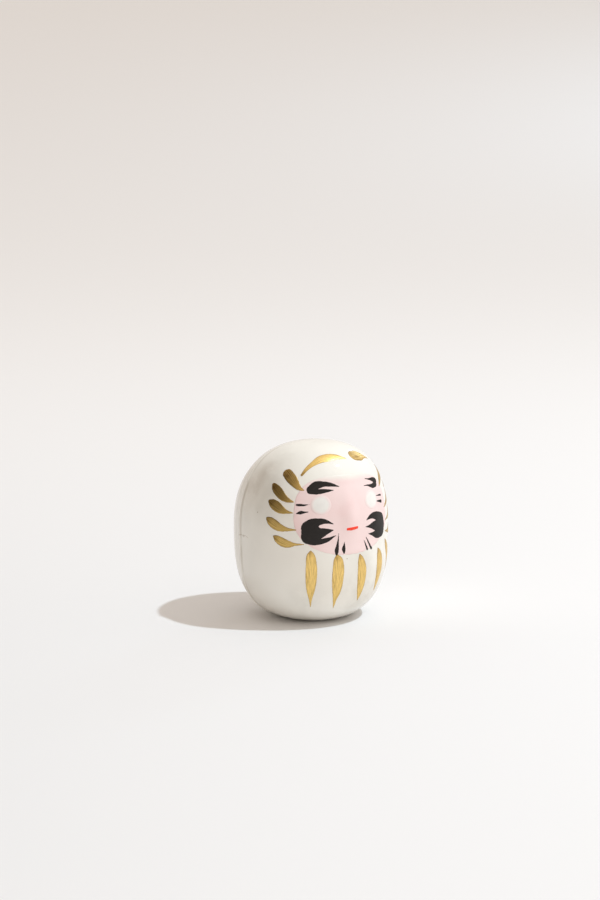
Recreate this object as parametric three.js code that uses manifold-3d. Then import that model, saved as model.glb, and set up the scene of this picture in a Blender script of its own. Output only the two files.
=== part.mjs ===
// A daruma: a tumbler doll of moulded paper pulp with a clay weight, painted with brush strokes.
// Millimetres, +Z up. The doll looks along -Y. The origin is on the floor, under the middle of the
// doll's box. An azimuth is a turn about the doll's upright axis in degrees, 0 at the middle of the
// face and positive towards +X. Left and right are those of a viewer who faces the doll.
import * as THREE from "three";
import { mergeVertices } from "three/addons/utils/BufferGeometryUtils.js";
import Module from "manifold-3d";

const wasm = await Module();
wasm.setup();

// ---- The body ----
const HEIGHT = 100;
const RADIUS = 42.8; // of the widest ring, on average
const BACK_SHARE = 0.124; // how much further the back stands out than the sides, as a share of RADIUS
const PAINT_OFFSET = 0.6; // moves the doll back, because paint stands out on its front only
const AXIS_Y = PAINT_OFFSET - RADIUS * BACK_SHARE; // the upright axis that azimuths turn about
const WAIST_Z = 49.7; // height of the widest ring
const FOOT_POWER = 2.9; // of the superellipse below the waist
const CROWN_POWER = 2.463; // of the superellipse above it, at the sides
const CROWN_POWER_SWING = 0.212; // more at the front, less at the back
const FOOT_CUT = 0.6; // the curve of the foot would end this far below the floor

// ---- Shell, weight and base ----
const GAP = 0.3; // between pieces that touch
const SEAM_Y = AXIS_Y + 10; // the halves meet behind the doll's middle, clear of the painted front
const PULP = 2; // thickness of the shell
const SHELL_Z = 0.6; // underside of the shell, above the base paper
const BASE_SHIFT = 2.1;
const BASE_Y = AXIS_Y + BASE_SHIFT; // middle of the flat underside
const HOLE_RADIUS = 9; // opening in the bottom of the shell
const PAPER_RADIUS = 13;
const PAPER_THICKNESS = SHELL_Z - GAP;
const BAND_WIDTH = 12;
const BAND_THICKNESS = 0.6;
const WEIGHT_TOP = 15;
const WEIGHT_DISH = 4; // depth of the hollow in the weight's top
const WEIGHT_DISH_RADIUS = 22;
const SKEWER_RADIUS = 4; // hole left by the stick that holds the doll while it is painted

// ---- The face, pressed into the front ----
const FACE = { halfWidth: 49, middle: 63.5, halfHeight: 21.5, upperPower: 3.3, lowerPower: 2.2 };
const FACE_DEPTH = 0.8;
const FACE_SLOPE = [0.72, 1.04]; // where the sunk face starts and ends its rise, in shares of its size
const SWELLS = [
  { azimuth: 0, z: 64, halfWidth: 8, halfHeight: 10, height: 1.4 }, // nose
  { azimuth: -32, z: 55.5, halfWidth: 12, halfHeight: 8, height: 0.8 }, // cheeks
  { azimuth: 32, z: 55.5, halfWidth: 12, halfHeight: 8, height: 0.8 },
  { azimuth: 0, z: 47, halfWidth: 14, halfHeight: 5, height: 0.5 }, // chin
];
const EYE = { azimuth: 26.5, z: 70, width: 11.4, height: 10.6, dome: 0.9 };

// ---- Coats of paint, as lift above the shell and thickness ----
const COATS = {
  ground: { lift: 0.2, thickness: 0.3 },
  gold: { lift: 0.7, thickness: 0.3 },
  ink: { lift: 1.2, thickness: 0.3 },
};

// ---- Fineness of the meshes ----
const COLUMNS = 36;
const ROWS = 24;
const INNER_COLUMNS = 24;
const INNER_ROWS = 16;
const FRONT_FINENESS = 0.35; // columns stand closer at the front by this share, and wider at the back
const STROKE_STEPS = 10;
const CAP_STEPS = 3;
const FACE_STEPS = 32;
const EYE_STEPS = [16, 10];
const DISH_STEPS = 3;
const ROUND_STEPS = 32; // round the base paper, the opening and the dish
const SKEWER_STEPS = 16;

// ---- Cutting blocks: how far each reaches past what it cuts ----
const BEYOND = 2 * HEIGHT;
const PRISM_ABOVE = 6;
const STROKE_PRISM_DEPTH = 14;
const FACE_PRISM_DEPTH = 22;

const FINISHES = {
  pulp: { color: 0xf1ede3, roughness: 0.35, metalness: 0 },
  band: { color: 0xcfc3a8, roughness: 0.9, metalness: 0 },
  clay: { color: 0xa8714f, roughness: 0.85, metalness: 0 },
  paper: { color: 0xe6dfcf, roughness: 0.9, metalness: 0 },
  pink: { color: 0xf4d7d5, roughness: 0.7, metalness: 0 },
  white: { color: 0xeeeeec, roughness: 0.5, metalness: 0 },
  ink: { color: 0x2d2626, roughness: 0.4, metalness: 0 },
  red: { color: 0xff3c28, roughness: 0.45, metalness: 0 },
  gold: { color: 0xc0964a, roughness: 0.32, metalness: 0.85 },
};

// ---- Brush strokes ----
// A dab is one pull of the brush. Each of its touches is an azimuth, a height and a width in mm, from
// where the brush lands to where it lifts. A motif is the dabs that run together in one colour.
const INK_MOTIFS = {
  brow_left: [
    [[-35.9, 78.1, 4], [-30.9, 80.2, 4.5], [-23.9, 80.9, 3], [-16.5, 80.5, 2.1], [-8.6, 79.3, 0.4]],
    [[-35.9, 77.6, 3.6], [-30.5, 77.1, 3], [-22.8, 77.4, 2.2], [-14.3, 77.6, 0.4]],
  ],
  brow_right: [
    [[38.8, 79, 3.1], [35.4, 79.9, 2.6], [32.7, 80.3, 1.7], [28.5, 80.8, 0.8], [23.7, 81.4, 0.4]],
    [[37.5, 77.2, 3.3], [32.9, 76.8, 2.6], [29.1, 77.2, 1.7], [25.2, 77.8, 0.8], [20.4, 78, 0.4]],
  ],
  lash_upper_left: [[
    [-46.7, 70, 1.1], [-44.1, 70, 1.3], [-40, 70, 0.8],
    [-38.4, 70.2, 0.4], [-36.2, 70.3, 0.4],
  ]],
  lash_lower_left: [[
    [-46.8, 65.3, 0.5], [-45.1, 65.7, 1.2], [-43.2, 66, 1.9],
    [-41, 66.1, 1.2], [-36.9, 66.4, 0.4],
  ]],
  lash_upper_right: [[[42.8, 70.7, 1.2], [39.4, 70.9, 0.8], [36.2, 71.1, 0.4]]],
  lash_lower_right: [[[41.8, 67.3, 1.9], [37.9, 67.8, 1.1], [34.5, 68.2, 0.4]]],
  moustache_left: [
    [[-36.8, 57.6, 8], [-33.4, 59.5, 6.6], [-30.4, 60.6, 4.6], [-23.5, 61.1, 2.6], [-16, 59.5, 0.4]],
    [[-36.2, 55.5, 8.6], [-32.1, 55, 7.8], [-28.4, 54.7, 6.2], [-22.5, 55.5, 3.5], [-16, 56.1, 0.4]],
    [[-36.7, 53, 8.1], [-33.1, 51, 5.4], [-29, 50.2, 3.6], [-22.5, 50.7, 2.6], [-13.8, 53, 0.4]],
  ],
  moustache_right: [
    [[36.5, 57.8, 8], [31, 60.3, 5], [24.6, 61, 3], [20.5, 60.3, 1.6], [17.5, 59.4, 0.4]],
    [[36.5, 55, 8.6], [30, 55.2, 6.2], [25.2, 55.6, 3.9], [20.4, 55.6, 1.5], [16, 55.7, 0.4]],
    [[35.8, 52.2, 8.2], [30.5, 50.6, 5.2], [25.2, 50.9, 2.2], [19.7, 51.6, 0.4]],
  ],
  chin_hair_outer_left: [[
    [-13.5, 42.6, 1.1], [-13.3, 44.6, 2.3], [-12.6, 46.9, 1.7],
    [-11.9, 49.6, 0.9], [-11.3, 54.1, 0.4],
  ]],
  chin_hair_inner_left: [[[-6.8, 43.2, 0.9], [-7, 45.2, 2.1], [-6.5, 47.2, 1.1], [-6.2, 49.1, 0.4]]],
  chin_hair_inner_right: [[[17.3, 43.2, 1.1], [16.3, 44.8, 1.1], [15.3, 46.7, 0.7], [14.1, 48.6, 0.4]]],
  chin_hair_outer_right: [[[22.2, 43.3, 1.4], [20.4, 45.3, 1.1], [18.5, 47.9, 0.8], [16.4, 50.2, 0.4]]],
};
const MOUTH = [[[-3.1, 56, 1.5], [0.5, 56, 1.7], [6.5, 56.3, 1.4]]];
const WHISKERS_LEFT = [
  [[-59.6, 85.8, 5.5], [-53.9, 83.2, 5.7], [-49.7, 80.9, 4.3], [-45.8, 78.8, 2.5], [-41.4, 77.7, 0.5]],
  [
    [-70, 79.4, 2.3], [-67.4, 78, 4.4], [-63.3, 75.9, 5.1],
    [-58.4, 73.4, 3.9], [-54.2, 72.2, 2.4], [-49.3, 71.4, 0.4],
  ],
  [
    [-70.3, 70.7, 2.1], [-67.7, 69.9, 4.4], [-64.2, 68.7, 5.7],
    [-59.7, 67, 4.3], [-55.4, 66.1, 2.2], [-49.6, 65.6, 0.4],
  ],
  [
    [-71.3, 61.6, 1.3], [-69.2, 60.7, 3.6], [-65.7, 59.2, 5.2],
    [-60.2, 57.3, 4.2], [-54.7, 56.6, 2.3], [-46.8, 56.5, 0.5],
  ],
  [
    [-64.7, 52.1, 1.3], [-62.4, 51.1, 3.5], [-59, 49.7, 4.8],
    [-53.6, 48.5, 4], [-48.3, 48.5, 1.8], [-40.5, 48.7, 0.4],
  ],
];
const WHISKERS_RIGHT = [
  [
    [70, 82.6, 5], [64, 81.6, 5], [58, 80.3, 4],
    [52, 78.8, 3.2], [48, 77.2, 2], [44, 75.4, 0.5],
  ],
  [
    [84, 80, 2.3], [81, 79, 4.4], [77, 77.4, 5.1],
    [71.5, 75.4, 3.9], [66.5, 74, 2.4], [61, 73, 0.4],
  ],
  [
    [80, 72, 2.1], [76, 70.8, 4.4], [70, 69.3, 5.7],
    [62, 67.2, 4.3], [55, 65.4, 2.4], [46, 63.4, 0.4],
  ],
  [
    [76, 61.6, 1.3], [73, 60.8, 3.6], [69, 59.6, 5.2],
    [62.5, 57.9, 3.8], [56, 56.9, 1.8], [47, 56.1, 0.5],
  ],
  [
    [74, 51.5, 1.3], [71, 50.7, 3.5], [67, 49.6, 4.8],
    [61, 48.9, 3.8], [55, 49, 2], [47, 50, 0.4],
  ],
];
const CHIN_STROKES = [
  [
    [-34.9, 44.8, 1], [-34.9, 42, 4.5], [-34.5, 37.6, 5.8], [-34.8, 28.1, 5.9],
    [-35.3, 22.4, 4.3], [-35.7, 17.7, 1.9], [-36.1, 12.4, 0.4],
  ],
  [
    [-12.7, 41.6, 2], [-11.9, 39, 5.2], [-11.5, 35.6, 6.4], [-11.7, 28.8, 6.6],
    [-11.9, 21.8, 4.9], [-12.7, 16.7, 2.2], [-12.7, 11, 0.4],
  ],
  [[9, 41, 0.8], [10.4, 38, 3.8], [12.2, 33.4, 5.9], [13, 26.8, 6], [13.5, 20.4, 4.2], [14.3, 14, 0.4]],
  [
    [32.3, 41.9, 0.8], [34.8, 38.6, 4.3], [36.8, 34.9, 6.2],
    [37.9, 29.3, 6.5], [37.5, 24.5, 4.6], [37.5, 17.3, 0.5],
  ],
  [
    [46.8, 45.2, 0.8], [50.5, 41.8, 3.6], [57, 36.5, 5.4],
    [63, 30.5, 5.4], [67, 25, 3.4], [69, 19.5, 0.5],
  ],
];
const FOREHEAD_LEFT = [
  [-44.8, 85.4, 1.3], [-41, 88.2, 2], [-33.3, 91.1, 3.2], [-24.1, 92.9, 5],
  [-14.9, 93.5, 5.4], [-4.6, 93.6, 4.1], [10.3, 92.3, 0.4],
];
const FOREHEAD_RIGHT = [
  [28.5, 92.9, 7.2], [35, 92.6, 7.6], [42, 92.1, 5.2], [47.5, 91.2, 2.6], [54, 89.6, 0.4],
];
const GOLD_MOTIFS = {
  forehead_stroke_left: [FOREHEAD_LEFT],
  forehead_stroke_right: [FOREHEAD_RIGHT],
  ...Object.fromEntries(WHISKERS_LEFT.map((dab, i) => [`whisker_left_${i + 1}`, [dab]])),
  ...Object.fromEntries(WHISKERS_RIGHT.map((dab, i) => [`whisker_right_${i + 1}`, [dab]])),
  ...Object.fromEntries(CHIN_STROKES.map((dab, i) => [`chin_stroke_${i + 1}`, [dab]])),
};

// ---- The surface of the doll ----
const radians = THREE.MathUtils.degToRad;
const degrees = THREE.MathUtils.radToDeg;

// A point of the plain body, without the face. The latitude is -90 at the foot and 90 at the crown.
function plainPoint(azimuth, latitude) {
  const front = Math.cos(radians(azimuth));
  const across = Math.cos(radians(latitude));
  const up = Math.sin(radians(latitude));
  const crown = latitude > 0;
  const power = crown ? CROWN_POWER + CROWN_POWER_SWING * front : FOOT_POWER;
  const half = crown ? HEIGHT - WAIST_Z : WAIST_Z + FOOT_CUT;
  const scale = (Math.abs(across) ** power + Math.abs(up) ** power) ** (-1 / power);
  const reach = RADIUS * (1 - BACK_SHARE * front) * across * scale;
  return new THREE.Vector3(
    reach * Math.sin(radians(azimuth)),
    AXIS_Y - reach * front,
    WAIST_Z + half * up * scale,
  );
}

function plainNormal(azimuth, latitude) {
  const step = 0.5;
  if (90 - Math.abs(latitude) < step) return new THREE.Vector3(0, 0, Math.sign(latitude));
  const round = plainPoint(azimuth + step, latitude).sub(plainPoint(azimuth - step, latitude));
  const rise = plainPoint(azimuth, latitude + step).sub(plainPoint(azimuth, latitude - step));
  return round.cross(rise).normalize();
}

// 0 in the middle of the face and 1 on its outline.
function faceShare(azimuth, z) {
  const power = z > FACE.middle ? FACE.upperPower : FACE.lowerPower;
  const across = Math.abs(azimuth / FACE.halfWidth);
  const up = Math.abs((z - FACE.middle) / FACE.halfHeight);
  return (across ** power + up ** power) ** (1 / power);
}

// How far the moulded face stands out of the plain body.
function relief(azimuth, z) {
  const sunk = 1 - THREE.MathUtils.smoothstep(faceShare(azimuth, z), ...FACE_SLOPE);
  const swell = (s) =>
    s.height * Math.exp(-(((azimuth - s.azimuth) / s.halfWidth) ** 2) - ((z - s.z) / s.halfHeight) ** 2);
  return SWELLS.reduce((sum, s) => sum + swell(s), -FACE_DEPTH * sunk);
}

function skinPoint(azimuth, latitude, lift) {
  const point = plainPoint(azimuth, latitude);
  const rise = relief(azimuth, point.z) + lift;
  return point.addScaledVector(plainNormal(azimuth, latitude), rise);
}

// The latitude at which the plain body reaches a height, by halving.
function latitudeAt(azimuth, z) {
  let [low, high] = [-90, 90];
  while (high - low > 1e-6) {
    const middle = (low + high) / 2;
    if (plainPoint(azimuth, middle).z < z) low = middle;
    else high = middle;
  }
  return low;
}

// ---- Solids ----
function solid(geometry) {
  geometry.deleteAttribute("normal");
  geometry.deleteAttribute("uv");
  const merged = mergeVertices(geometry, 1e-4);
  return new wasm.Manifold(
    new wasm.Mesh({
      numProp: 3,
      vertProperties: merged.attributes.position.array,
      triVerts: new Uint32Array(merged.index.array),
    }),
  );
}

// The doll's whole outside, moved out by a lift, or in by a negative one.
function skin(lift, columns = COLUMNS, rows = ROWS) {
  const azimuths = Array.from({ length: columns }, (_, i) => {
    const turn = (2 * Math.PI * i) / columns;
    return degrees(turn - FRONT_FINENESS * Math.sin(turn));
  });
  const centred = (azimuth) => (azimuth > 180 ? azimuth - 360 : azimuth);
  const points = [skinPoint(0, -90, lift)];
  for (let row = 1; row < rows; row++) {
    const latitude = -90 + (180 * row) / rows;
    points.push(...azimuths.map((azimuth) => skinPoint(centred(azimuth), latitude, lift)));
  }
  points.push(skinPoint(0, 90, lift));
  const last = points.length - 1;
  const at = (row, column) => 1 + (row - 1) * columns + (column % columns);
  const faces = [];
  for (let column = 0; column < columns; column++) {
    faces.push(0, at(1, column + 1), at(1, column));
    faces.push(last, at(rows - 1, column), at(rows - 1, column + 1));
    for (let row = 1; row < rows - 1; row++) {
      const [a, b] = [at(row, column), at(row, column + 1)];
      const [c, d] = [at(row + 1, column + 1), at(row + 1, column)];
      faces.push(a, b, c, a, c, d);
    }
  }
  const geometry = new THREE.BufferGeometry();
  const numbers = points.flatMap((point) => point.toArray());
  geometry.setAttribute("position", new THREE.Float32BufferAttribute(numbers, 3));
  geometry.setIndex(faces);
  return solid(geometry);
}

// An upright block over the whole doll, between two values of y and of z.
function slab(fromY, toY, fromZ, toZ) {
  const box = new THREE.BoxGeometry(3 * RADIUS, toY - fromY, toZ - fromZ);
  return solid(box.translate(0, (fromY + toY) / 2, (fromZ + toZ) / 2));
}

function disc(radius, fromZ, toZ, segments = ROUND_STEPS) {
  const cylinder = new THREE.CylinderGeometry(radius, radius, toZ - fromZ, segments);
  return solid(cylinder.rotateX(Math.PI / 2).translate(0, BASE_Y, (fromZ + toZ) / 2));
}

// The frame that touches the doll at one point: x goes round it, y climbs it and z stands out.
function tangentFrame(azimuth, z) {
  const latitude = latitudeAt(azimuth, z);
  const out = plainNormal(azimuth, latitude);
  const round = new THREE.Vector3(0, 0, 1).cross(out).normalize();
  const climb = out.clone().cross(round);
  return new THREE.Matrix4().makeBasis(round, climb, out).setPosition(plainPoint(azimuth, latitude));
}

// Where a point of the doll lies in a tangent frame, seen along the frame's z.
function flatPoint([azimuth, z], frame) {
  const point = plainPoint(azimuth, latitudeAt(azimuth, z)).applyMatrix4(frame.clone().invert());
  return new THREE.Vector2(point.x, point.y);
}

// A prism that stands on an outline drawn in a tangent frame, from a depth under the skin to above it.
function prism(outline, frame, depth) {
  const geometry = new THREE.ExtrudeGeometry(new THREE.Shape(outline), {
    depth: depth + PRISM_ABOVE,
    bevelEnabled: false,
  });
  return solid(geometry.translate(0, 0, -depth).applyMatrix4(frame));
}

// The outline of a dab: both sides of its line, and a round end at each end.
function dabOutline(dab, frame) {
  const knots = dab.map(([azimuth, z, width]) => {
    const { x, y } = flatPoint([azimuth, z], frame);
    return new THREE.Vector3(x, y, width);
  });
  const line = new THREE.CatmullRomCurve3(knots);
  const edge = (t, turn) => {
    const [place, heading] = [line.getPoint(t), line.getTangent(t)];
    const angle = Math.atan2(heading.y, heading.x) + turn;
    const half = place.z / 2;
    return new THREE.Vector2(place.x + half * Math.cos(angle), place.y + half * Math.sin(angle));
  };
  const side = (turn) => Array.from({ length: STROKE_STEPS + 1 }, (_, i) => edge(i / STROKE_STEPS, turn));
  const cap = (t, start) =>
    Array.from({ length: CAP_STEPS - 1 }, (_, i) => edge(t, start + (Math.PI * (i + 1)) / CAP_STEPS));
  const [right, left] = [side(-Math.PI / 2), side(Math.PI / 2).reverse()];
  return [...right, ...cap(1, -Math.PI / 2), ...left, ...cap(0, Math.PI / 2)];
}

// ---- The pieces ----
const aboveFloor = slab(-BEYOND, BEYOND, SHELL_Z + PULP, BEYOND);
const cavity = skin(-PULP, INNER_COLUMNS, INNER_ROWS).intersect(aboveFloor);
const shell = skin(0)
  .intersect(slab(-BEYOND, BEYOND, SHELL_Z, BEYOND))
  .subtract(cavity)
  .subtract(disc(HOLE_RADIUS, -BEYOND, SHELL_Z + 2 * PULP));

function seamBand() {
  const wall = PULP + GAP;
  const outside = skin(-wall, INNER_COLUMNS, INNER_ROWS);
  const inside = skin(-wall - BAND_THICKNESS, INNER_COLUMNS, INNER_ROWS);
  const strip = slab(SEAM_Y - BAND_WIDTH / 2, SEAM_Y + BAND_WIDTH / 2, WEIGHT_TOP + GAP, BEYOND);
  return outside.subtract(inside).intersect(strip);
}

// The hollow of the weight's top: a shallow bowl, closed above the weight.
function dish() {
  const bowl = Array.from({ length: DISH_STEPS + 1 }, (_, i) => {
    const share = i / DISH_STEPS;
    return new THREE.Vector2(WEIGHT_DISH_RADIUS * share, WEIGHT_TOP - WEIGHT_DISH * (1 - share ** 2));
  });
  const lid = [WEIGHT_DISH_RADIUS, 0].map((radius) => new THREE.Vector2(radius, WEIGHT_TOP + 1));
  const turned = new THREE.LatheGeometry([...bowl, ...lid], ROUND_STEPS);
  return solid(turned.rotateX(Math.PI / 2).translate(0, BASE_Y, 0));
}

function clayWeight() {
  return skin(-PULP - GAP, INNER_COLUMNS, INNER_ROWS)
    .intersect(slab(-BEYOND, BEYOND, SHELL_Z + PULP + GAP, WEIGHT_TOP))
    .subtract(dish())
    .subtract(disc(SKEWER_RADIUS, -BEYOND, BEYOND, SKEWER_STEPS));
}

const coats = Object.fromEntries(
  Object.entries(COATS).map(([name, { lift, thickness }]) => {
    return [name, skin(lift + thickness).subtract(skin(lift))];
  }),
);

function facePaint() {
  const frame = tangentFrame(0, FACE.middle);
  const outline = Array.from({ length: FACE_STEPS }, (_, i) => {
    const angle = (2 * Math.PI * i) / FACE_STEPS;
    const [across, up] = [FACE.halfWidth * Math.cos(angle), FACE.halfHeight * Math.sin(angle)];
    const share = faceShare(across, FACE.middle + up);
    return flatPoint([across / share, FACE.middle + up / share], frame);
  });
  return coats.ground.intersect(prism(outline, frame, FACE_PRISM_DEPTH));
}

function eye(side) {
  const azimuth = side * EYE.azimuth;
  const dome = new THREE.SphereGeometry(1, ...EYE_STEPS);
  dome.scale(EYE.width / 2, EYE.height / 2, EYE.dome);
  dome.translate(0, 0, relief(azimuth, EYE.z) + COATS.gold.lift);
  dome.applyMatrix4(tangentFrame(azimuth, EYE.z));
  return solid(dome).subtract(skin(COATS.gold.lift));
}

function strokes(dabs, coat) {
  const [azimuth, z] = dabs[0][Math.floor(dabs[0].length / 2)];
  const frame = tangentFrame(azimuth, z);
  const prisms = dabs.map((one) => prism(dabOutline(one, frame), frame, STROKE_PRISM_DEPTH));
  return coats[coat].intersect(wasm.Manifold.union(prisms));
}

const pieces = [
  ["front_shell", "pulp", shell.intersect(slab(-BEYOND, SEAM_Y - GAP / 2, 0, BEYOND))],
  ["rear_shell", "pulp", shell.intersect(slab(SEAM_Y + GAP / 2, BEYOND, 0, BEYOND))],
  ["seam_band", "band", seamBand()],
  ["clay_weight", "clay", clayWeight()],
  ["base_paper", "paper", disc(PAPER_RADIUS, 0, PAPER_THICKNESS)],
  ["face_paint", "pink", facePaint()],
  ["eye_left", "white", eye(-1)],
  ["eye_right", "white", eye(1)],
  ["mouth", "red", strokes(MOUTH, "ink")],
  ...Object.entries(INK_MOTIFS).map(([name, dabs]) => [name, "ink", strokes(dabs, "ink")]),
  ...Object.entries(GOLD_MOTIFS).map(([name, dabs]) => [name, "gold", strokes(dabs, "gold")]),
];

const doll = new THREE.Group();
for (const [name, finish, body] of pieces) {
  const { vertProperties, triVerts } = body.getMesh();
  const geometry = new THREE.BufferGeometry();
  geometry.setAttribute("position", new THREE.BufferAttribute(new Float32Array(vertProperties), 3));
  geometry.setIndex(Array.from(triVerts));
  geometry.computeVertexNormals();
  const mesh = new THREE.Mesh(geometry, new THREE.MeshStandardMaterial(FINISHES[finish]));
  mesh.name = name;
  doll.add(mesh);
}

export default doll;
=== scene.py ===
"""Looks of a daruma: a tumbler doll of lacquered paper pulp, painted with a brush.

The frame comes first, and every piece is built in its place. Lengths are in millimetres and angles
in degrees, until a mesh is made from them. An azimuth is a turn about the doll's upright axis, 0 at
the middle of the face and positive towards +X. Left and right are those of a viewer who faces it.
"""

import logging
import math
from dataclasses import dataclass
from enum import Enum
from typing import Iterable

import bmesh
import bpy
import numpy as np
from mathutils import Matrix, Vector


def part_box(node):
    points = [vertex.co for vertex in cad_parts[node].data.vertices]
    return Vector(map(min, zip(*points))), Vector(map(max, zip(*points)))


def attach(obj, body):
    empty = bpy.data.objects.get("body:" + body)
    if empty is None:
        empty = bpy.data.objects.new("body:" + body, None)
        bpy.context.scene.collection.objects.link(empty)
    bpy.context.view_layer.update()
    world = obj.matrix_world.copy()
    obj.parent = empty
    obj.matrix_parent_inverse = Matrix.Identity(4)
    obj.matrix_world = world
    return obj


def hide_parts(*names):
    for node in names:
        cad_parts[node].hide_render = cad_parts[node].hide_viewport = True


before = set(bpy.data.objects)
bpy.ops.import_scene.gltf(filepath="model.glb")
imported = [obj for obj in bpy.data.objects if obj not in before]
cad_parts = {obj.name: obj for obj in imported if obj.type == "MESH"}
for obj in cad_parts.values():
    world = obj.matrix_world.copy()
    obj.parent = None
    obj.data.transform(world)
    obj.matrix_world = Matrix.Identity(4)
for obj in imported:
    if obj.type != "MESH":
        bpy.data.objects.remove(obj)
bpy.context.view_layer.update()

LOG = logging.getLogger("daruma")
MM = 0.001
BODY = "root"
TINY = 1e-9
CAST_HALVINGS = 40  # steps in which a ray's way out of the body is found
LINE_READINGS = 90  # places along a dab's middle line
FOOT_GAP = 0.05  # between the base paper and the shell's foot
Array = np.ndarray
Piece = bpy.types.Object
Socket = bpy.types.NodeSocket
Colour = tuple[float, float, float]
Touch = tuple[float, float, float]  # azimuth, height and width
Noise = tuple[float, float, float]  # waves per metre, detail and roughness
Range = tuple[float, float, float, float]  # from, to, and what the two become


class Coat(Enum):
    """The layers of paint, as the height of each film's edge over the lacquer, in millimetres."""

    GROUND = 0.03
    GOLD = 0.07
    INK = 0.1


class Half(Enum):
    """The two halves of the shell: where each one's middle looks, as an azimuth."""

    FRONT = 0
    REAR = 180


# ---------------------------------------------------------------------------------------------
# The shape of the doll
# ---------------------------------------------------------------------------------------------


@dataclass(frozen=True)
class Swell:
    """A soft rise of the surface, or a dent where its height is negative."""

    azimuth: float
    z: float
    half_width: float
    half_height: float
    height: float

    def rise(self, azimuth: Array, z: Array) -> Array:
        """Says how far the surface stands out at some places.

        Args:
            azimuth: azimuths of the places, in degrees.
            z: their heights.

        Returns:
            The rise at each place.
        """
        turn = (azimuth - self.azimuth + 180) % 360 - 180
        fall = (turn / self.half_width) ** 2 + ((z - self.z) / self.half_height) ** 2
        return self.height * np.exp(-fall)


@dataclass(frozen=True)
class FaceOutline:
    """The outline of the painted face, a superellipse over azimuth and height."""

    half_width: float = 49
    middle: float = 63.5
    half_height: float = 21.5
    upper_power: float = 3.3
    lower_power: float = 2.2

    def share(self, azimuth: Array, z: Array) -> Array:
        """Gives 0 in the middle of the face, 1 on its outline and more outside.

        Args:
            azimuth: azimuths of the places, in degrees.
            z: their heights.

        Returns:
            The share at each place.
        """
        power = np.where(z > self.middle, self.upper_power, self.lower_power)
        across = np.abs(azimuth / self.half_width) ** power
        up = np.abs((z - self.middle) / self.half_height) ** power
        return (across + up) ** (1 / power)


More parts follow.
